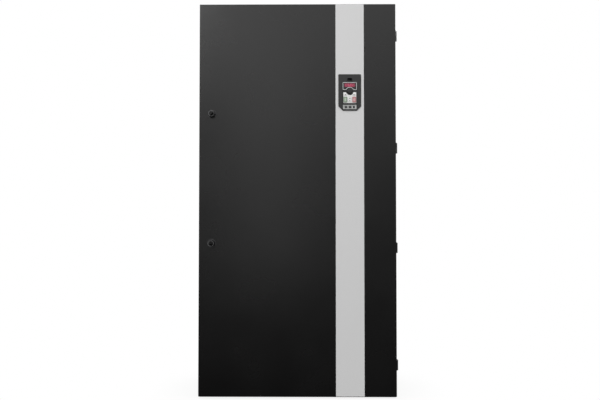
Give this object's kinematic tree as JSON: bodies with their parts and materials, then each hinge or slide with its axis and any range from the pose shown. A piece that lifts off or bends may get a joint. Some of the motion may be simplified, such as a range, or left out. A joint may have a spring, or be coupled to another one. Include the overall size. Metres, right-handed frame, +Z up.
{
  "type": "variable frequency drive",
  "caption": "Tall floor-standing motor drive cabinet: full-height hinged door with a keypad on a pale strip, quarter-turn latches, power parts and fans inside.",
  "frame": {"origin": "on the floor, at the centre of the four floor bolt holes of the base frame", "axes": "+X to the right of somebody facing the door, the door faces -Y, +Z up"},
  "size_m": [0.8595, 0.4305, 1.703],
  "materials": {
    "frame_black": "semi-gloss fine-texture black powder coat",
    "panel_black": "semi-gloss fine-texture black powder coat",
    "door_black": "semi-gloss fine-texture black powder coat",
    "strip_silver": "satin light grey paint with fine metallic grain",
    "gasket_foam": "foamed-in-place sealing foam",
    "hinge_black": "satin black",
    "pin_steel": "turned steel",
    "latch_black": "black moulded nylon",
    "zinc_steel": "bright zinc plated",
    "zinc_sheet": "galvanised sheet with soft spangle",
    "tray_charcoal": "moulded charcoal plastic, fine spark texture",
    "nameplate_grey": "printed plate with plain bars",
    "keypad_black": "moulded black plastic",
    "display_red": "smoked red display window",
    "keypad_white": "white moulded plastic",
    "key_green": "soft green moulded key",
    "key_red": "soft red moulded key",
    "key_white": "white moulded key",
    "dial_black": "black ribbed dial",
    "fan_black": "black glass-filled plastic",
    "guard_wire": "plated steel guard",
    "heatsink_aluminium": "extruded aluminium",
    "module_ivory": "moulded module housing",
    "board_green": "solder mask with traces",
    "parts_dark": "moulded electronic parts",
    "terminal_green": "green pluggable terminals",
    "capacitor_sleeve": "dark blue shrink sleeve",
    "copper": "rolled copper",
    "copper_tinned": "tinned copper bar",
    "insulation_film": "insulating film",
    "sensor_black": "moulded sensor housing",
    "clear_shroud": "clear polycarbonate",
    "standoff_red": "red-brown moulded insulator",
    "core_laminated": "varnished steel laminations",
    "coil_copper": "varnished copper winding",
    "grommet_rubber": "moulded rubber"
  },
  "bodies": {
    "cabinet": {"base_frame": "frame_black", "side_panel_left": "panel_black", "side_panel_right": "panel_black", "rear_panel": "panel_black", "top_panel": "panel_black", "lifting_blocks": "zinc_steel", "front_frame": "frame_black", "gland_plate": "zinc_sheet", "duct_floor": "zinc_sheet", "cable_grommets": "grommet_rubber", "hinge_cabinet_leaves": "hinge_black", "hinge_pins": "pin_steel", "fan_housings": "fan_black", "fan_guards": "guard_wire", "partition_plate": "zinc_sheet", "heatsinks": "heatsink_aluminium", "power_modules": "module_ivory", "circuit_boards": "board_green", "board_parts": "parts_dark", "control_terminals": "terminal_green", "control_tray": "zinc_sheet", "dc_link_capacitors": "capacitor_sleeve", "capacitor_bracket": "zinc_sheet", "dc_bus_negative": "copper", "dc_bus_positive": "copper", "dc_bus_insulation": "insulation_film", "output_bars": "copper_tinned", "input_bars": "copper_tinned", "screws": "zinc_steel", "terminal_rail": "zinc_sheet", "current_sensors": "sensor_black", "terminal_shroud": "clear_shroud", "earth_bar": "copper", "standoffs": "standoff_red", "choke_core": "core_laminated", "choke_coils": "coil_copper"},
    "door": {"door_panel": "door_black", "door_strip": "strip_silver", "door_gasket": "gasket_foam", "door_stiffeners": "zinc_sheet", "hinge_door_leaves": "hinge_black", "latch_housings": "latch_black", "keypad_tray": "tray_charcoal", "nameplate": "nameplate_grey"},
    "latch_upper": {"latch_knob_upper": "latch_black", "latch_cam_upper": "zinc_steel"},
    "latch_lower": {"latch_knob_lower": "latch_black", "latch_cam_lower": "zinc_steel"},
    "keypad": {"keypad_case": "keypad_black", "display_window": "display_red", "key_surround": "keypad_white"},
    "run_key": {"key_run": "key_green"},
    "stop_key": {"key_stop": "key_red"},
    "program_key": {"key_program": "key_white"},
    "escape_key": {"key_escape": "key_white"},
    "shift_key": {"key_shift": "key_white"},
    "dial": {"dial_knob": "dial_black"},
    "fan_1": {"fan_rotor_1": "fan_black"},
    "fan_2": {"fan_rotor_2": "fan_black"},
    "fan_3": {"fan_rotor_3": "fan_black"}
  },
  "joints": [
    {"name": "door_hinge", "type": "hinge", "parent": "cabinet", "child": "door", "pos_m": [0.4275, -0.184, 0.85], "axis": [0, 0, 1], "range_deg": [0, 120]},
    {"name": "latch_upper_turn", "type": "hinge", "parent": "door", "child": "latch_upper", "pos_m": [-0.37, -0.2, 1.221], "axis": [0, 1, 0], "range_deg": [0, 90]},
    {"name": "latch_lower_turn", "type": "hinge", "parent": "door", "child": "latch_lower", "pos_m": [-0.37, -0.2, 0.662], "axis": [0, 1, 0], "range_deg": [0, 90]},
    {"name": "keypad_slide", "type": "slide", "parent": "door", "child": "keypad", "axis": [0, -1, 0], "range_m": [0, 0.03]},
    {"name": "run_key_press", "type": "slide", "parent": "keypad", "child": "run_key", "axis": [0, 1, 0], "range_m": [0, 0.001], "stiffness_N_per_m": 150},
    {"name": "stop_key_press", "type": "slide", "parent": "keypad", "child": "stop_key", "axis": [0, 1, 0], "range_m": [0, 0.001], "stiffness_N_per_m": 150},
    {"name": "program_key_press", "type": "slide", "parent": "keypad", "child": "program_key", "axis": [0, 1, 0], "range_m": [0, 0.001], "stiffness_N_per_m": 150},
    {"name": "escape_key_press", "type": "slide", "parent": "keypad", "child": "escape_key", "axis": [0, 1, 0], "range_m": [0, 0.001], "stiffness_N_per_m": 150},
    {"name": "shift_key_press", "type": "slide", "parent": "keypad", "child": "shift_key", "axis": [0, 1, 0], "range_m": [0, 0.001], "stiffness_N_per_m": 150},
    {"name": "dial_turn", "type": "hinge", "parent": "keypad", "child": "dial", "pos_m": [0.226, -0.22, 1.318], "axis": [0, -1, 0], "continuous": true},
    {"name": "fan_1_spin", "type": "hinge", "parent": "cabinet", "child": "fan_1", "pos_m": [-0.27, 0.10625, 1.67], "axis": [0, 0, 1], "continuous": true},
    {"name": "fan_2_spin", "type": "hinge", "parent": "cabinet", "child": "fan_2", "pos_m": [0, 0.10625, 1.67], "axis": [0, 0, 1], "continuous": true},
    {"name": "fan_3_spin", "type": "hinge", "parent": "cabinet", "child": "fan_3", "pos_m": [0.27, 0.10625, 1.67], "axis": [0, 0, 1], "continuous": true}
  ]
}
